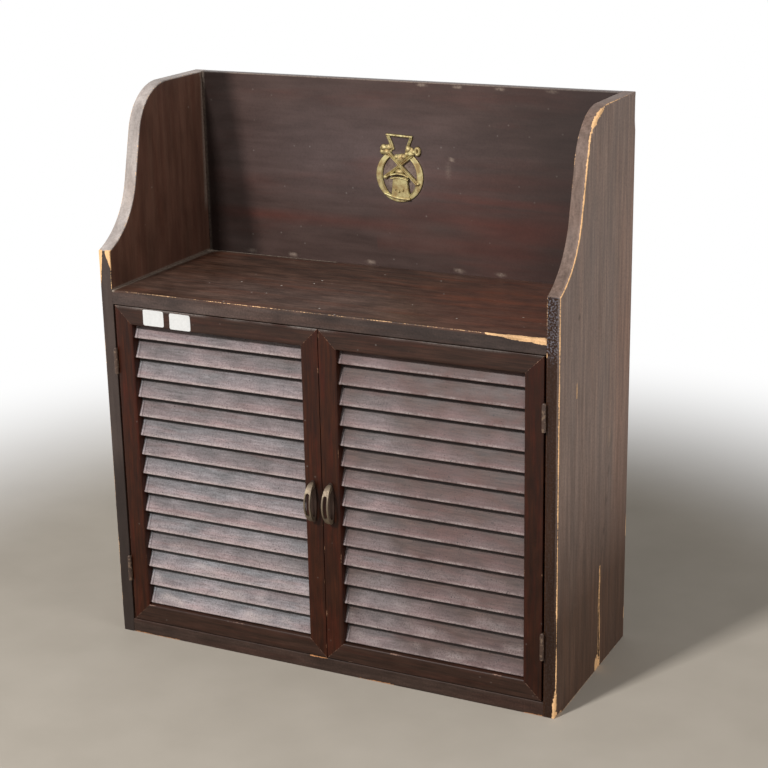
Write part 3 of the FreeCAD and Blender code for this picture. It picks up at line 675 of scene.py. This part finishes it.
def brass_ornament(material):
    """The casting: an oval ring, open at its top, under a strap loop; two ridged rods crossed over it with
    clustered knobs at their upper ends; and a bell with a banded shoulder that hangs under the crossing."""
    ring_middle, ring_half_x, ring_half_z = -0.7, 32.7, 32.9
    turn = np.radians(np.linspace(118, 422, 100))
    side = np.abs(np.cos(turn))
    band = 2.4 + 2.4 * side ** 1.4
    oval = (ring_middle + (ring_half_x - band) * np.cos(turn), (ring_half_z - band) * np.sin(turn))
    circle = np.linspace(0, 2 * math.pi, 29)[:-1]
    eyelet = (24.2 + 2.5 * np.cos(circle), 32.4 + 4.0 * np.sin(circle))
    t = np.linspace(0, 1, 22)
    rod = 2.4 + 0.7 * (2 * t - 1) ** 4
    bell_half = 10.8 + 3.4 * t ** 1.3
    shells = [
        relief(oval, band, 2.6 + 0 * turn, lipped_crown),
        relief(line_path((-18.4, 51.2), (17.6, 49.8)), 1.7, 2.6, round_crown),
        relief(line_path((-16.6, 50.0), (-9.6, 33.0), 0.6), 2.7, 2.6, ridged_crown),
        relief(line_path((15.8, 48.8), (10.2, 33.0), -0.6), 2.4, 2.6, ridged_crown),
        relief(line_path((17.4, 27.2), (-19.0, -1.0)), rod, 3.9, ridged_crown),
        relief(line_path((-16.4, 30.0), (23.6, -8.4)), rod, 5.0, ridged_crown),
        relief((0.6 * t, -1.0 - 26.0 * t), bell_half, 3.8 - 0.4 * t, flat_crown),
        relief(line_path((-20.6, -22.6), (14.2, -27.8), -2.0), 2.1, 4.6, round_crown),
        relief(line_path((-11.8, -3.2), (11.8, -4.2), 2.0), 1.5, 5.4, round_crown),
        relief(line_path((-12.6, 0.8), (12.4, -0.4), 3.0), 1.5, 5.2, round_crown),
        relief(eyelet, 2.3, 3.4, round_crown, looped=True),
    ]
    shells += [blob(*sizes) for sizes in (
        (-0.2, 5.6, 6.4, 4.2, 5.4), (1.0, 22.2, 9.2, 6.2, 4.4, 5, 0.08), (-3.6, 24.0, 4.4, 3.6, 5.0),
        (5.8, 24.8, 4.6, 4.0, 5.4), (-19.4, 31.6, 8.6, 7.0, 3.4, 5, 0.08), (-21.4, 34.8, 5.0, 4.4, 4.6, 3, 0.1),
        (-14.6, 35.4, 5.0, 4.2, 4.4, 4, 0.1), (-17.4, 29.6, 5.4, 4.4, 4.8), (-24.2, 29.6, 3.4, 3.6, 3.8),
        (14.0, 31.0, 7.4, 6.0, 3.2, 5, 0.08), (11.8, 34.4, 4.2, 5.0, 4.4, 3, 0.12),
        (15.4, 28.6, 5.0, 4.0, 4.6, 4, 0.1), (19.4, 31.4, 3.6, 3.0, 4.0), (9.4, 28.0, 3.2, 3.4, 4.0),
        (-20.2, -2.0, 3.4, 2.8, 4.0), (24.8, -8.2, 3.0, 2.8, 4.6), (-5.4, -16.4, 1.8, 2.0, 5.6),
        (-0.6, -18.6, 2.2, 2.6, 5.8), (4.6, -17.2, 1.8, 2.2, 5.6))]
    points = np.concatenate([shell[0] for shell in shells])
    height = panel_front_y - points[:, 1]
    strap = points[:, 2] > ornament_z + 38
    make_piece("cast_brass_ornament", shells, material, "carcass", ("horse_brass",),
               {"hollow": over(held(1 - height / 1.7), 0.3 * strap)})


# --- Stickers ---

def sticker(name, left, bottom, wide, tall, lift, material):
    """A blank paper sticker: a thin sheet with round corners, one of which has curled up a little."""
    outline = rounded_profile(wide, tall, (2.2,) * 4, per_corner=7, per_side=8)
    middle = np.array([wide / 2, tall / 2])
    share = np.array([0, 0.35, 0.7, 0.92, 1.0])[:, None, None]
    sheet = middle + share * (outline - middle)
    curl = lift * held((sheet[..., 0] / wide + sheet[..., 1] / tall - 1.35) / 0.65) ** 2
    x, z = left + sheet[..., 0], bottom + sheet[..., 1]
    front = np.stack([x, door_front_y - sticker_thick - curl, z], -1)
    rear = np.stack([x, door_front_y - sticker_off - curl, z], -1)
    rings = np.concatenate([front, rear[::-1]])
    make_piece(name, [tube(rings)], material, "left_door")


# --- Materials ---

MIX_FACTOR, MIX_A, MIX_B, MIX_RESULT = 0, 6, 7, 2      # sockets of a Mix node on colours
GRAIN_X, GRAIN_Z = 0, 2
# The first colour darkens real gaps and cracks and also paints shade and shadows.
DARK_GAPS_AND_SHADE, CRUMB_PALE, POCK_GREY = "120A07", "D8CEC4", "7E7C84"
SPECK_MM, CRUMB_SPACING_MM = 2.2, 19.0


def colour(code):
    """A hex colour as linear RGBA."""
    channels = np.array([int(code[i:i + 2], 16) for i in (0, 2, 4)]) / 255
    linear = np.where(channels <= 0.04045, channels / 12.92, ((channels + 0.055) / 1.055) ** 2.4)
    return (*linear.tolist(), 1.0)


def add(tree, kind, inputs=(), give=0, **settings):
    """Adds a shader node and gives one of its outputs, where it has any. Settings are the node's properties,
    and inputs its sockets' values or the outputs linked to them."""
    made = tree.nodes.new("ShaderNode" + kind)
    for key, value in settings.items():
        setattr(made, key, value)
    for socket, value in dict(inputs).items():
        if isinstance(value, bpy.types.NodeSocket):
            tree.links.new(value, made.inputs[socket])
        else:
            made.inputs[socket].default_value = value
    return made.outputs[give] if len(made.outputs) else made


def new_material(name):
    """An empty material, its tree, and the object's own coordinates in it."""
    material = bpy.data.materials.new(name)
    material.use_nodes = True
    material.node_tree.nodes.clear()
    return material, material.node_tree, add(material.node_tree, "TexCoord", give="Object")


def stained_wood(name, grain, dark, light, warm, bare="F2C18C", pale=("8C8078", "8A6C58"), dust="A3968A",
                 rough=0.42, shine=0.3, banded=0.5, contrast=0.16, speckle=0.08, clouding=0.2, pits=0.2,
                 fibre=(2.4, 90.0), figure=(17.0, 330.0), cloud=(45.0, 90.0), fine=(1.4, 22.0)):
    """Spirit-stained softwood under old, dull wax: streaks along the grain and redder bands. The board's own
    marks lay on it sun-bleached stretches and painted sheen, ruddy ones, dust and painted highlights, crumbs,
    dark gaps and painted shade and shadows, pocked stain and bare wood.

    Fibre, figure, cloud and fine are the size of a streak, a band, a blotch and a pore in millimetres, across
    and along the grain. Contrast, speckle and clouding are how much streaks, specks and blotches change the
    level. Real fibres are finer than the picture can hold, so they are drawn as coarse as they need to show."""
    material, tree, place = new_material(name)
    wood = {"speck": add(tree, "TexNoise", {"Vector": place, "Scale": 1 / (SPECK_MM * MM), "Detail": 2.0,
                                            "Roughness": 0.6})}
    for key, (across, along) in (("fibre", fibre), ("figure", figure), ("fine", fine), ("cloud", cloud)):
        scale = [1 / (across * MM)] * 3
        scale[grain] = 1 / (along * MM)
        run = add(tree, "Mapping", {"Vector": place, "Scale": scale})
        wood[key] = add(tree, "TexNoise", {"Vector": run, "Scale": 1.0, "Detail": 3.0, "Roughness": 0.6,
                                           "Distortion": 0.25})
    wood["grit"] = add(tree, "TexVoronoi", {"Vector": place, "Scale": 1 / (CRUMB_SPACING_MM * MM)}, "Distance")
    wood["grit_tone"] = wood["grit"].node.outputs["Color"]
    for key in ("bare", "dark", "pocked", "dust", "faded_and_sheen", "ruddy", "crumbs"):
        wood[key] = add(tree, "Attribute", give="Fac", attribute_name=key)

    # Each range: the pattern that it reads, the stretch of it, and what that becomes.
    for key, pattern, start, stop, low, high in (
            ("streak", "fibre", 0.34, 0.66, 0, 1),
            ("streak_level", "fibre", 0.34, 0.66, 1 - contrast, 1 + contrast),
            ("uneven", "fibre", 0.34, 0.66, 0.84, 1.08),
            ("band", "figure", 0.46, 0.7, 0, banded),
            ("blotch_level", "cloud", 0.3, 0.7, 1 - clouding, 1 + clouding),
            ("dull", "cloud", 0.3, 0.7, rough - 0.06, rough + 0.1),
            ("pore_level", "fine", 0.3, 0.7, 1 - contrast, 1 + contrast),
            ("tooth", "speck", 0.3, 0.7, 1 - speckle, 1 + speckle),
            ("mottle", "speck", 0.3, 0.7, 1 - 2 * speckle, 1 + 2 * speckle),
            ("film", "speck", 0.32, 0.6, 0.35, 1.3),
            ("pitted", "speck", 0.6, 0.72, 0, pits),
            ("pocks", "speck", 0.46, 0.64, 0, 1),
            ("near_grit", "grit", 0.045, 0.075, 1, 0),
            ("few", "grit_tone", 0.42, 0.72, 0, 1)):
        wood[key] = add(tree, "MapRange", {"Value": wood[pattern], "From Min": start, "From Max": stop,
                                           "To Min": low, "To Max": high},
                        interpolation_type="SMOOTHSTEP" if key in ("band", "pocks") else "LINEAR")

    # Each product: its factors, and whether it stops at 1.
    for key, factors, clamped in (
            ("level", ("blotch_level", "pore_level", "tooth"), False),
            ("pale_level", ("mottle", "pore_level", "blotch_level", "streak_level"), False),
            ("fading_and_sheen", ("uneven", "faded_and_sheen"), True),
            ("filmed", ("film", "dust"), True),
            ("crumbed", ("near_grit", "few", "crumbs"), False),
            ("pocks_shown", ("pocks", "pocked"), False)):
        wood[key] = wood[factors[0]]
        for factor in factors[1:]:
            wood[key] = add(tree, "Math", {0: wood[key], 1: wood[factor]}, operation="MULTIPLY",
                            use_clamp=clamped)

    warmth = add(tree, "Math", {0: wood["band"], 1: wood["ruddy"]}, operation="ADD", use_clamp=True)
    darker = add(tree, "Math", {0: wood["pitted"], 1: wood["dark"]}, operation="MAXIMUM")
    ragged = add(tree, "Math", {0: wood["fine"], 1: wood["speck"]}, operation="ADD")
    ragged = add(tree, "MapRange", {"Value": ragged, "From Min": 0.7, "From Max": 1.3, "To Min": -0.3,
                                    "To Max": 0.3})
    edge = add(tree, "Math", {0: wood["bare"], 1: ragged}, operation="ADD")
    rubbed = add(tree, "MapRange", {"Value": edge, "From Min": 0.42, "From Max": 0.6},
                 interpolation_type="SMOOTHSTEP")
    has_mark = add(tree, "Math", {0: wood["bare"], 1: 0.12}, operation="GREATER_THAN")
    rubbed = add(tree, "Math", {0: rubbed, 1: has_mark}, operation="MULTIPLY")

    stain, weather_and_sheen_tone = colour(dark), colour(pale[0])
    for mask, laid in ((wood["streak"], light), (warmth, warm)):
        stain = add(tree, "Mix", {MIX_FACTOR: mask, MIX_A: stain, MIX_B: colour(laid)}, MIX_RESULT,
                    data_type="RGBA")
    weather_and_sheen_tone = add(tree, "Mix", {MIX_FACTOR: warmth, MIX_A: weather_and_sheen_tone, MIX_B: colour(pale[1])}, MIX_RESULT,
                  data_type="RGBA")
    body, weathered_and_sheen, bare_wood = (
        add(tree, "VectorMath", {0: ground, "Scale": wood[level]}, operation="SCALE")
        for ground, level in ((stain, "level"), (weather_and_sheen_tone, "pale_level"), (colour(bare)[:3], "level")))
    # Layers: pale tones that also paint sheen, dust that also paints highlights, crumbs, dark gaps that also
    # paint shade, pocks and bare wood.
    for mask, laid in ((wood["fading_and_sheen"], weathered_and_sheen), (wood["filmed"], colour(dust)),
                       (wood["crumbed"], colour(CRUMB_PALE)), (darker, colour(DARK_GAPS_AND_SHADE)),
                       (wood["pocks_shown"], colour(POCK_GREY)), (rubbed, bare_wood)):
        body = add(tree, "Mix", {MIX_FACTOR: mask, MIX_A: body, MIX_B: laid}, MIX_RESULT, data_type="RGBA")

    dull = wood["dull"]
    for mask, share in ((wood["filmed"], 0.2), (wood["fading_and_sheen"], 0.22), (rubbed, 0.35)):
        dull = add(tree, "Math", {0: mask, 1: share, 2: dull}, operation="MULTIPLY_ADD", use_clamp=True)
    height = add(tree, "Math", {0: wood["fine"], 1: wood["fibre"]}, operation="ADD")
    for mask, rise in ((rubbed, -3.0), (wood["pocks_shown"], 4.0)):
        height = add(tree, "Math", {0: mask, 1: rise, 2: height}, operation="MULTIPLY_ADD")
    bump = add(tree, "Bump", {"Height": height, "Strength": 0.6, "Distance": 0.06 * MM})
    shader = add(tree, "BsdfPrincipled", {"Base Color": body, "Roughness": dull, "IOR": 1.5,
                                          "Specular IOR Level": shine, "Normal": bump})
    add(tree, "OutputMaterial", {"Surface": shader})
    return material


def metal(name, bright, dull, recess, rough, grain_mm, metallic=1.0, worn=None, unrubbed_y=None):
    """Metal or lacquered metal: cloudy tarnish over a brighter ground, darker where the casting is hollow and
    behind the depth that hands rub."""
    material, tree, place = new_material(name)
    cloud = add(tree, "TexNoise", {"Vector": place, "Scale": 1 / (grain_mm * 4 * MM), "Detail": 3.0,
                                   "Roughness": 0.6})
    grit = add(tree, "TexNoise", {"Vector": place, "Scale": 1 / (grain_mm * MM), "Detail": 3.0,
                                  "Roughness": 0.65})
    hollow = add(tree, "Attribute", give="Fac", attribute_name="hollow")
    dirt = add(tree, "Math", {0: grit, 1: hollow}, operation="ADD")
    layers = [(cloud, 0.36, 0.64, dull, "LINEAR"), (dirt, 0.62, 1.25, recess, "SMOOTHSTEP")]
    if unrubbed_y is not None:
        depth = add(tree, "SeparateXYZ", {0: place}, "Y")
        layers.append((depth, (unrubbed_y - 1.5) * MM, unrubbed_y * MM, recess, "LINEAR"))
    if worn:
        layers.append((grit, 0.52, 0.62, worn, "SMOOTHSTEP"))
    ground = colour(bright)
    for pattern, start, stop, laid, curve in layers:
        mask = add(tree, "MapRange", {"Value": pattern, "From Min": start, "From Max": stop},
                   interpolation_type=curve)
        ground = add(tree, "Mix", {MIX_FACTOR: mask, MIX_A: ground, MIX_B: colour(laid)}, MIX_RESULT,
                     data_type="RGBA")
    polish = add(tree, "MapRange", {"Value": grit, "From Min": 0.3, "From Max": 0.7,
                                    "To Min": rough - 0.08, "To Max": rough + 0.12})
    bump = add(tree, "Bump", {"Height": grit, "Strength": 0.5, "Distance": 0.12 * MM})
    shader = add(tree, "BsdfPrincipled", {"Base Color": ground, "Metallic": metallic, "Roughness": polish,
                                          "Normal": bump})
    add(tree, "OutputMaterial", {"Surface": shader})
    return material


def moulded(name, base, shade, rough, grain_mm):
    """Matte stock such as paper, moulded plastic or bare beech: two close tones and a fine tooth."""
    material, tree, place = new_material(name)
    tooth = add(tree, "TexNoise", {"Vector": place, "Scale": 1 / (grain_mm * MM), "Detail": 3.0,
                                   "Roughness": 0.6})
    tone = add(tree, "MapRange", {"Value": tooth, "From Min": 0.35, "From Max": 0.65})
    ground = add(tree, "Mix", {MIX_FACTOR: tone, MIX_A: colour(base), MIX_B: colour(shade)}, MIX_RESULT,
                 data_type="RGBA")
    bump = add(tree, "Bump", {"Height": tooth, "Strength": 0.3, "Distance": 0.03 * MM})
    shader = add(tree, "BsdfPrincipled", {"Base Color": ground, "Roughness": rough, "IOR": 1.5, "Normal": bump})
    add(tree, "OutputMaterial", {"Surface": shader})
    return material


# Each board's pale tones are laid where it is bleached and also as painted sheen and reflection: on the
# S-shaped edges, up the right side's outer face, over the panel's middle and over the slats.
left_side_wood = stained_wood(
    "stained_board_upright_grain", GRAIN_Z, "5A3C30", "684A3C", "6C4030", dust="9A8E82",
    pale=("AEA49E", "A08C7C"), contrast=0.06, banded=0.22, clouding=0.26, fibre=(9.0, 120.0),
    figure=(22.0, 200.0), cloud=(34.0, 90.0))
right_side_wood = stained_wood(
    "stained_board_sunned_and_sheened", GRAIN_Z, "361E0E", "482D1B", "553624", dust="C0A488", pale=("87746A", "8C7062"),
    shine=0.2, contrast=0.13, banded=0.26, speckle=0.1, clouding=0.14, fibre=(5.6, 130.0),
    figure=(24.0, 220.0), cloud=(30.0, 150.0), fine=(3.8, 44.0))
panel_wood = stained_wood(
    "stained_board_level_grain", GRAIN_X, "3F2F2A", "4A3934", "58322A", dust="9C8A7C",
    pale=("5E504F", "624A46"), contrast=0.03, banded=0.3, rough=0.4, clouding=0.16, fibre=(12.0, 110.0),
    figure=(30.0, 220.0), cloud=(38.0, 90.0))
shelf_wood = stained_wood(
    "stained_shelf_handled", GRAIN_X, "35251D", "523B2F", "562F1F", bare="EDBE8C", dust="B4A696",
    pale=("665650", "62463A"), contrast=0.13, rough=0.38, speckle=0.16, clouding=0.34, fibre=(6.0, 60.0),
    figure=(17.0, 200.0), cloud=(18.0, 40.0))
bottom_wood = stained_wood(
    "stained_board_scuffed", GRAIN_X, "322118", "462F24", "522C22", bare="BC8458", dust="9A8E82",
    pale=("5C4B43", "5A3F34"), shine=0.22, contrast=0.14, speckle=0.16, clouding=0.26, fibre=(4.0, 60.0),
    cloud=(14.0, 30.0))
stile_wood = stained_wood(
    "stained_stile", GRAIN_Z, "270F05", "391A0A", "47190B", bare="84604A", dust="8A7868", shine=0.22,
    clouding=0.26, fibre=(2.6, 60.0), figure=(8.0, 90.0), cloud=(11.0, 34.0))
rail_wood = stained_wood(
    "stained_rail", GRAIN_X, "2B1B13", "3D281F", "44241A", bare="84685A", dust="8E8680", shine=0.24,
    banded=0.4, clouding=0.24, fibre=(2.6, 70.0), figure=(8.0, 110.0), cloud=(11.0, 40.0))
slat_wood = stained_wood(
    "stained_slat_dusty_and_sheened", GRAIN_X, "43342F", "5C4A44", "5C403C", dust="C0B2AE", pale=("8E9094", "A08E8E"),
    rough=0.46, contrast=0.11, speckle=0.18, clouding=0.22, pits=0.8, fibre=(2.6, 30.0), figure=(14.0, 120.0),
    cloud=(14.0, 30.0))
handle_plate_y = front_y - 2.4     # the plate and the roots of the bow lie behind this
old_brass = metal("cast_brass_aged", "C6BA88", "9C8459", "463524", rough=0.58, grain_mm=2.4, metallic=0.75)
handle_brass = metal("cast_brass_dull", "887A66", "6C5E50", "42322A", rough=0.52, grain_mm=2.6, metallic=0.7,
                     unrubbed_y=handle_plate_y)
hinge_lacquer = metal("hinge_lacquer_worn", "4A362B", "382820", "2A1F18", rough=0.5, grain_mm=5.0,
                      metallic=0.0, worn="715C4B")
dull_steel = metal("steel_screw_dull", "8C8984", "6F6B66", "3F3B36", rough=0.45, grain_mm=1.8)
catch_plastic = moulded("catch_plastic_brown", "3A2A20", "2E2119", rough=0.5, grain_mm=1.6)
beech = moulded("beech_dowel_plain", "C9A57C", "B08A60", rough=0.7, grain_mm=2.0)
paper = moulded("sticker_paper_blank", "E4E4E2", "DCDCDA", rough=0.6, grain_mm=3.0)


# --- The cupboard ---

right_side(right_side_wood)
left_side(left_side_wood)
back_board(panel_wood)
shelf_board(shelf_wood)
bottom_board(bottom_wood)

for door in ("left", "right"):
    door_frame(door, stile_wood, rail_wood)
    chances = np.random.default_rng(DRAWN + len(door))
    slat_nodes = sorted(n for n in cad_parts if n.startswith(door + "_door_slat_"))
    for number, slat_node in enumerate(slat_nodes):
        slat(slat_node, number, door, chances, slat_wood)

brass_ornament(old_brass)

rail_top = corners("left_door_top_rail")[1][2]
sticker("sticker_outer", left=-240.8, bottom=rail_top - 21.0, wide=29.4, tall=20.0, lift=0.5, material=paper)
sticker("sticker_inner", left=-203.0, bottom=rail_top - 22.0, wide=29.5, tall=20.0, lift=0.7, material=paper)

kept_finishes = {
    "handle": handle_brass, "hinge_leaves": hinge_lacquer, "hinge_pins": hinge_lacquer,
    "fixings": dull_steel, "strike_plate": dull_steel, "carcass_screws": dull_steel, "back_nails": dull_steel,
    "magnetic_catches": catch_plastic, "dowels": beech, "mitre_tongues": beech,
}
for node_name, node_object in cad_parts.items():
    for ending, finish_material in kept_finishes.items():
        if node_name.endswith(ending):
            node_object.data.materials.clear()
            node_object.data.materials.append(finish_material)


# --- Floor, light and camera ---

def glowing_white(tree):
    """1 where the eye, a reflection or a ray through glass meets the surroundings, and 0 where light does."""
    path = add(tree, "LightPath").node.outputs
    seen = path["Is Camera Ray"]
    for ray in ("Is Glossy Ray", "Is Transmission Ray"):
        seen = add(tree, "Math", {0: seen, 1: path[ray]}, operation="MAXIMUM")
    return seen


def pale_floor():
    """A plain floor: a disc whose warm grey fades away from the cupboard to the white of the surroundings.
    There the eye, reflections and transmission see it glow at a strength of 1; it lights nothing."""
    reach, rings_out = 7.0, 24
    fade_from, fade_to = 0.55, 1.3       # metres from the cupboard's middle
    radius = reach * np.linspace(0.002, 1, rings_out)[:, None] ** 1.5
    turn = np.linspace(0, 2 * math.pi, 65)[:-1]
    points = np.stack([radius * np.cos(turn), radius * np.sin(turn), 0 * radius * turn], -1)
    index = np.arange(points.size // 3).reshape(rings_out, -1)
    quads = np.stack([index[:-1], index[1:], np.roll(index[1:], -1, 1), np.roll(index[:-1], -1, 1)], -1)
    mesh = bpy.data.meshes.new("floor")
    mesh.from_pydata(points.reshape(-1, 3).tolist(), [], quads.reshape(-1, 4).tolist() + [index[0].tolist()])
    material, tree, place = new_material("floor_paint_pale")
    away = add(tree, "VectorMath", {0: place}, "Value", operation="LENGTH")
    fade = add(tree, "MapRange", {"Value": away, "From Min": fade_from, "From Max": fade_to},
               interpolation_type="SMOOTHSTEP")
    mottle = add(tree, "TexNoise", {"Vector": place, "Scale": 9.0, "Detail": 4.0})
    tone = add(tree, "Mix", {MIX_FACTOR: mottle, MIX_A: colour("A9A093"), MIX_B: colour("BCB3A6")}, MIX_RESULT,
               data_type="RGBA")
    paint = add(tree, "BsdfPrincipled", {"Base Color": tone, "Roughness": 0.8, "Specular IOR Level": 0.2})
    glow = add(tree, "Emission", {"Color": colour("FFFFFF"), "Strength": 1.0})
    share = add(tree, "Math", {0: glowing_white(tree), 1: fade}, operation="MULTIPLY")
    add(tree, "OutputMaterial", {"Surface": add(tree, "MixShader", {0: share, 1: paint, 2: glow})})
    mesh.materials.append(material)
    floor = bpy.data.objects.new("floor", mesh)
    bpy.context.scene.collection.objects.link(floor)


def white_surroundings(room_light):
    """A room that is white to the eye and in reflections, and lights the cupboard at a plain level."""
    world = bpy.data.worlds.new("studio")
    world.use_nodes = True
    tree = world.node_tree
    tree.nodes.clear()
    plain, white = (add(tree, "Background", {"Color": colour("FFFFFF"), "Strength": strength})
                    for strength in (room_light, 1.0))
    both = add(tree, "MixShader", {0: glowing_white(tree), 1: plain, 2: white})
    add(tree, "OutputWorld", {"Surface": both})
    bpy.context.scene.world = world


def soft_lamp(name, place, aim, size, watts):
    """A square soft box that points at a place on the cupboard."""
    data = bpy.data.lights.new(name, "AREA")
    data.shape = "SQUARE"
    data.size = size
    data.energy = watts
    lamp = bpy.data.objects.new(name, data)
    lamp.location = place
    direction = Vector(aim) - Vector(place)
    lamp.rotation_euler = direction.to_track_quat("-Z", "Y").to_euler()
    bpy.context.scene.collection.objects.link(lamp)


def eye(place, yaw_deg, pitch_deg, roll_deg, lens):
    """The camera: it looks along +Y, turned by yaw to the left, pitch down and roll about its own line."""
    yaw, pitch, roll = np.radians([yaw_deg, pitch_deg, roll_deg])
    ahead = np.array([math.sin(yaw) * math.cos(pitch), math.cos(yaw) * math.cos(pitch), -math.sin(pitch)])
    level = np.array([math.cos(yaw), -math.sin(yaw), 0.0])
    upright = np.cross(level, ahead)
    right = math.cos(roll) * level + math.sin(roll) * upright
    up = math.cos(roll) * upright - math.sin(roll) * level
    turned = np.eye(4)
    turned[:3] = np.stack([right, up, -ahead, place], -1)
    data = bpy.data.cameras.new("eye")
    data.lens = lens
    data.sensor_width = 36.0
    camera = bpy.data.objects.new("eye", data)
    camera.matrix_world = Matrix(turned.tolist())
    bpy.context.scene.collection.objects.link(camera)
    bpy.context.scene.camera = camera


pale_floor()
white_surroundings(room_light=0.25)
soft_lamp("key_light", place=(-0.62, -2.35, 2.25), aim=(0.0, 0.0, 0.35), size=0.3, watts=84.0)
soft_lamp("fill_light", place=(2.6, -0.35, 1.2), aim=(0.3, 0.0, 0.35), size=1.6, watts=22.0)
eye(place=(0.952746, -1.871230, 1.007682), yaw_deg=-26.366, pitch_deg=17.725, roll_deg=-1.121, lens=83.63)
bpy.context.scene.view_settings.view_transform = "Standard"
